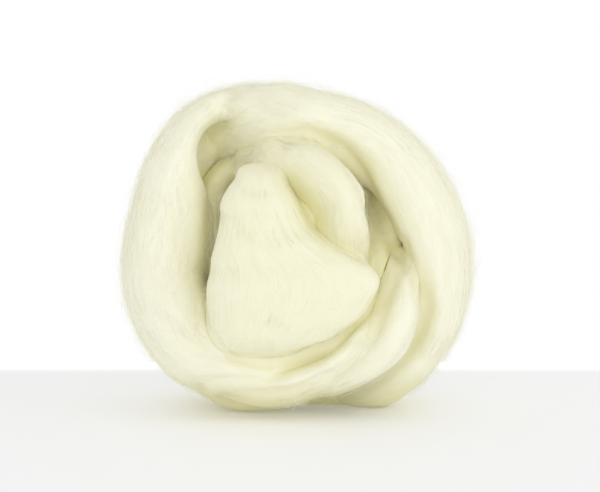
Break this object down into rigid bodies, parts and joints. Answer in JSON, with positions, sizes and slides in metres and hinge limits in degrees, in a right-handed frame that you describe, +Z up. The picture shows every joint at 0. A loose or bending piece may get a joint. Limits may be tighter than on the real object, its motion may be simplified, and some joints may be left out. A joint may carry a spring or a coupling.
{
  "type": "wool roving ball",
  "caption": "Ball of combed wool roving: a thick, soft, untwisted strand wound round on itself, its end tucked into the face as a pad, resting on a small flat spot.",
  "frame": {"origin": "on the surface the ball rests on, under the middle of its bounding box", "axes": "+Z up, -Y out of the face with the tucked end, +X to the right of that face"},
  "size_m": [0.1144, 0.0924, 0.1048],
  "materials": {
    "wool": "soft undyed combed wool, matt with a faint sheen along the fibres"
  },
  "bodies": {
    "root": {"roving_ball": "wool"}
  },
  "joints": []
}
